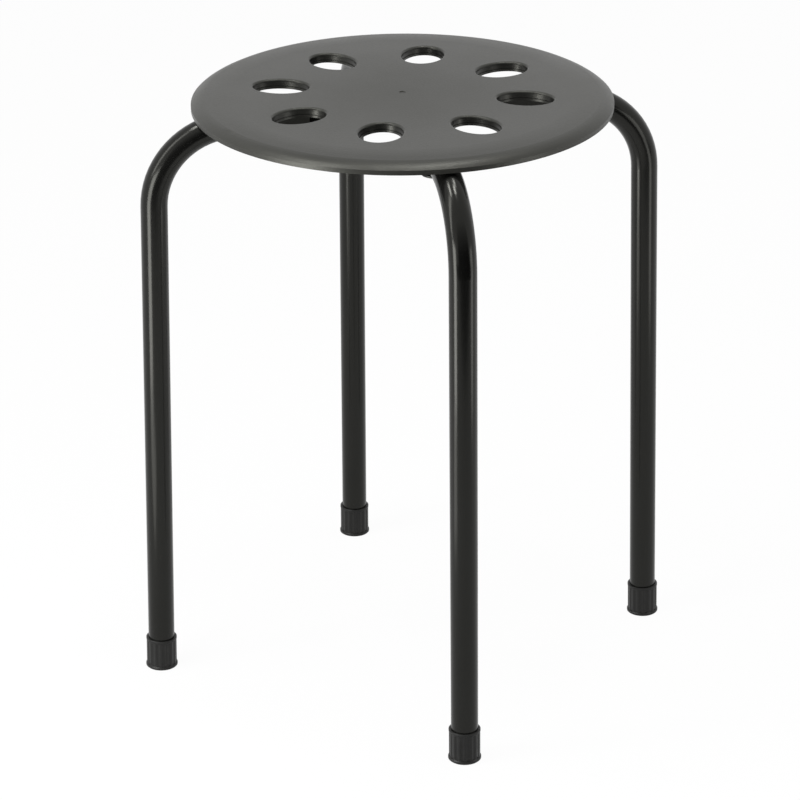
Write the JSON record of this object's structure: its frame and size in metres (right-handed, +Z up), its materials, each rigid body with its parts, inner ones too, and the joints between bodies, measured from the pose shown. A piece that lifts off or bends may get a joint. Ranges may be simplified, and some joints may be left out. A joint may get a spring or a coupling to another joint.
{
  "type": "stacking stool",
  "caption": "Round-seated stacking stool: dark moulded plastic seat with oval holes on two bent steel tubes that cross under it, with fluted plastic foot caps.",
  "frame": {"origin": "on the floor, under the middle of the seat", "axes": "+Z up; the upper tube's legs stand on the X axis and the lower tube's legs on the Y axis, with the leg nearest the camera in the picture on -Y"},
  "size_m": [0.4128, 0.4128, 0.45],
  "materials": {
    "seat_plastic": "matt, fine moulded grain",
    "tube_paint": "satin black powder coat",
    "cap_plastic": "satin, moulded",
    "screw_steel": "black zinc plate",
    "insert_brass": "turned"
  },
  "bodies": {
    "root": {"seat": "seat_plastic", "leg_frame_lower": "tube_paint", "leg_frame_upper": "tube_paint", "foot_cap_front": "cap_plastic", "foot_cap_right": "cap_plastic", "foot_cap_back": "cap_plastic", "foot_cap_left": "cap_plastic", "seat_screw_front": "screw_steel", "seat_screw_right": "screw_steel", "seat_screw_back": "screw_steel", "seat_screw_left": "screw_steel", "seat_insert_front": "insert_brass", "seat_insert_right": "insert_brass", "seat_insert_back": "insert_brass", "seat_insert_left": "insert_brass"}
  },
  "joints": []
}
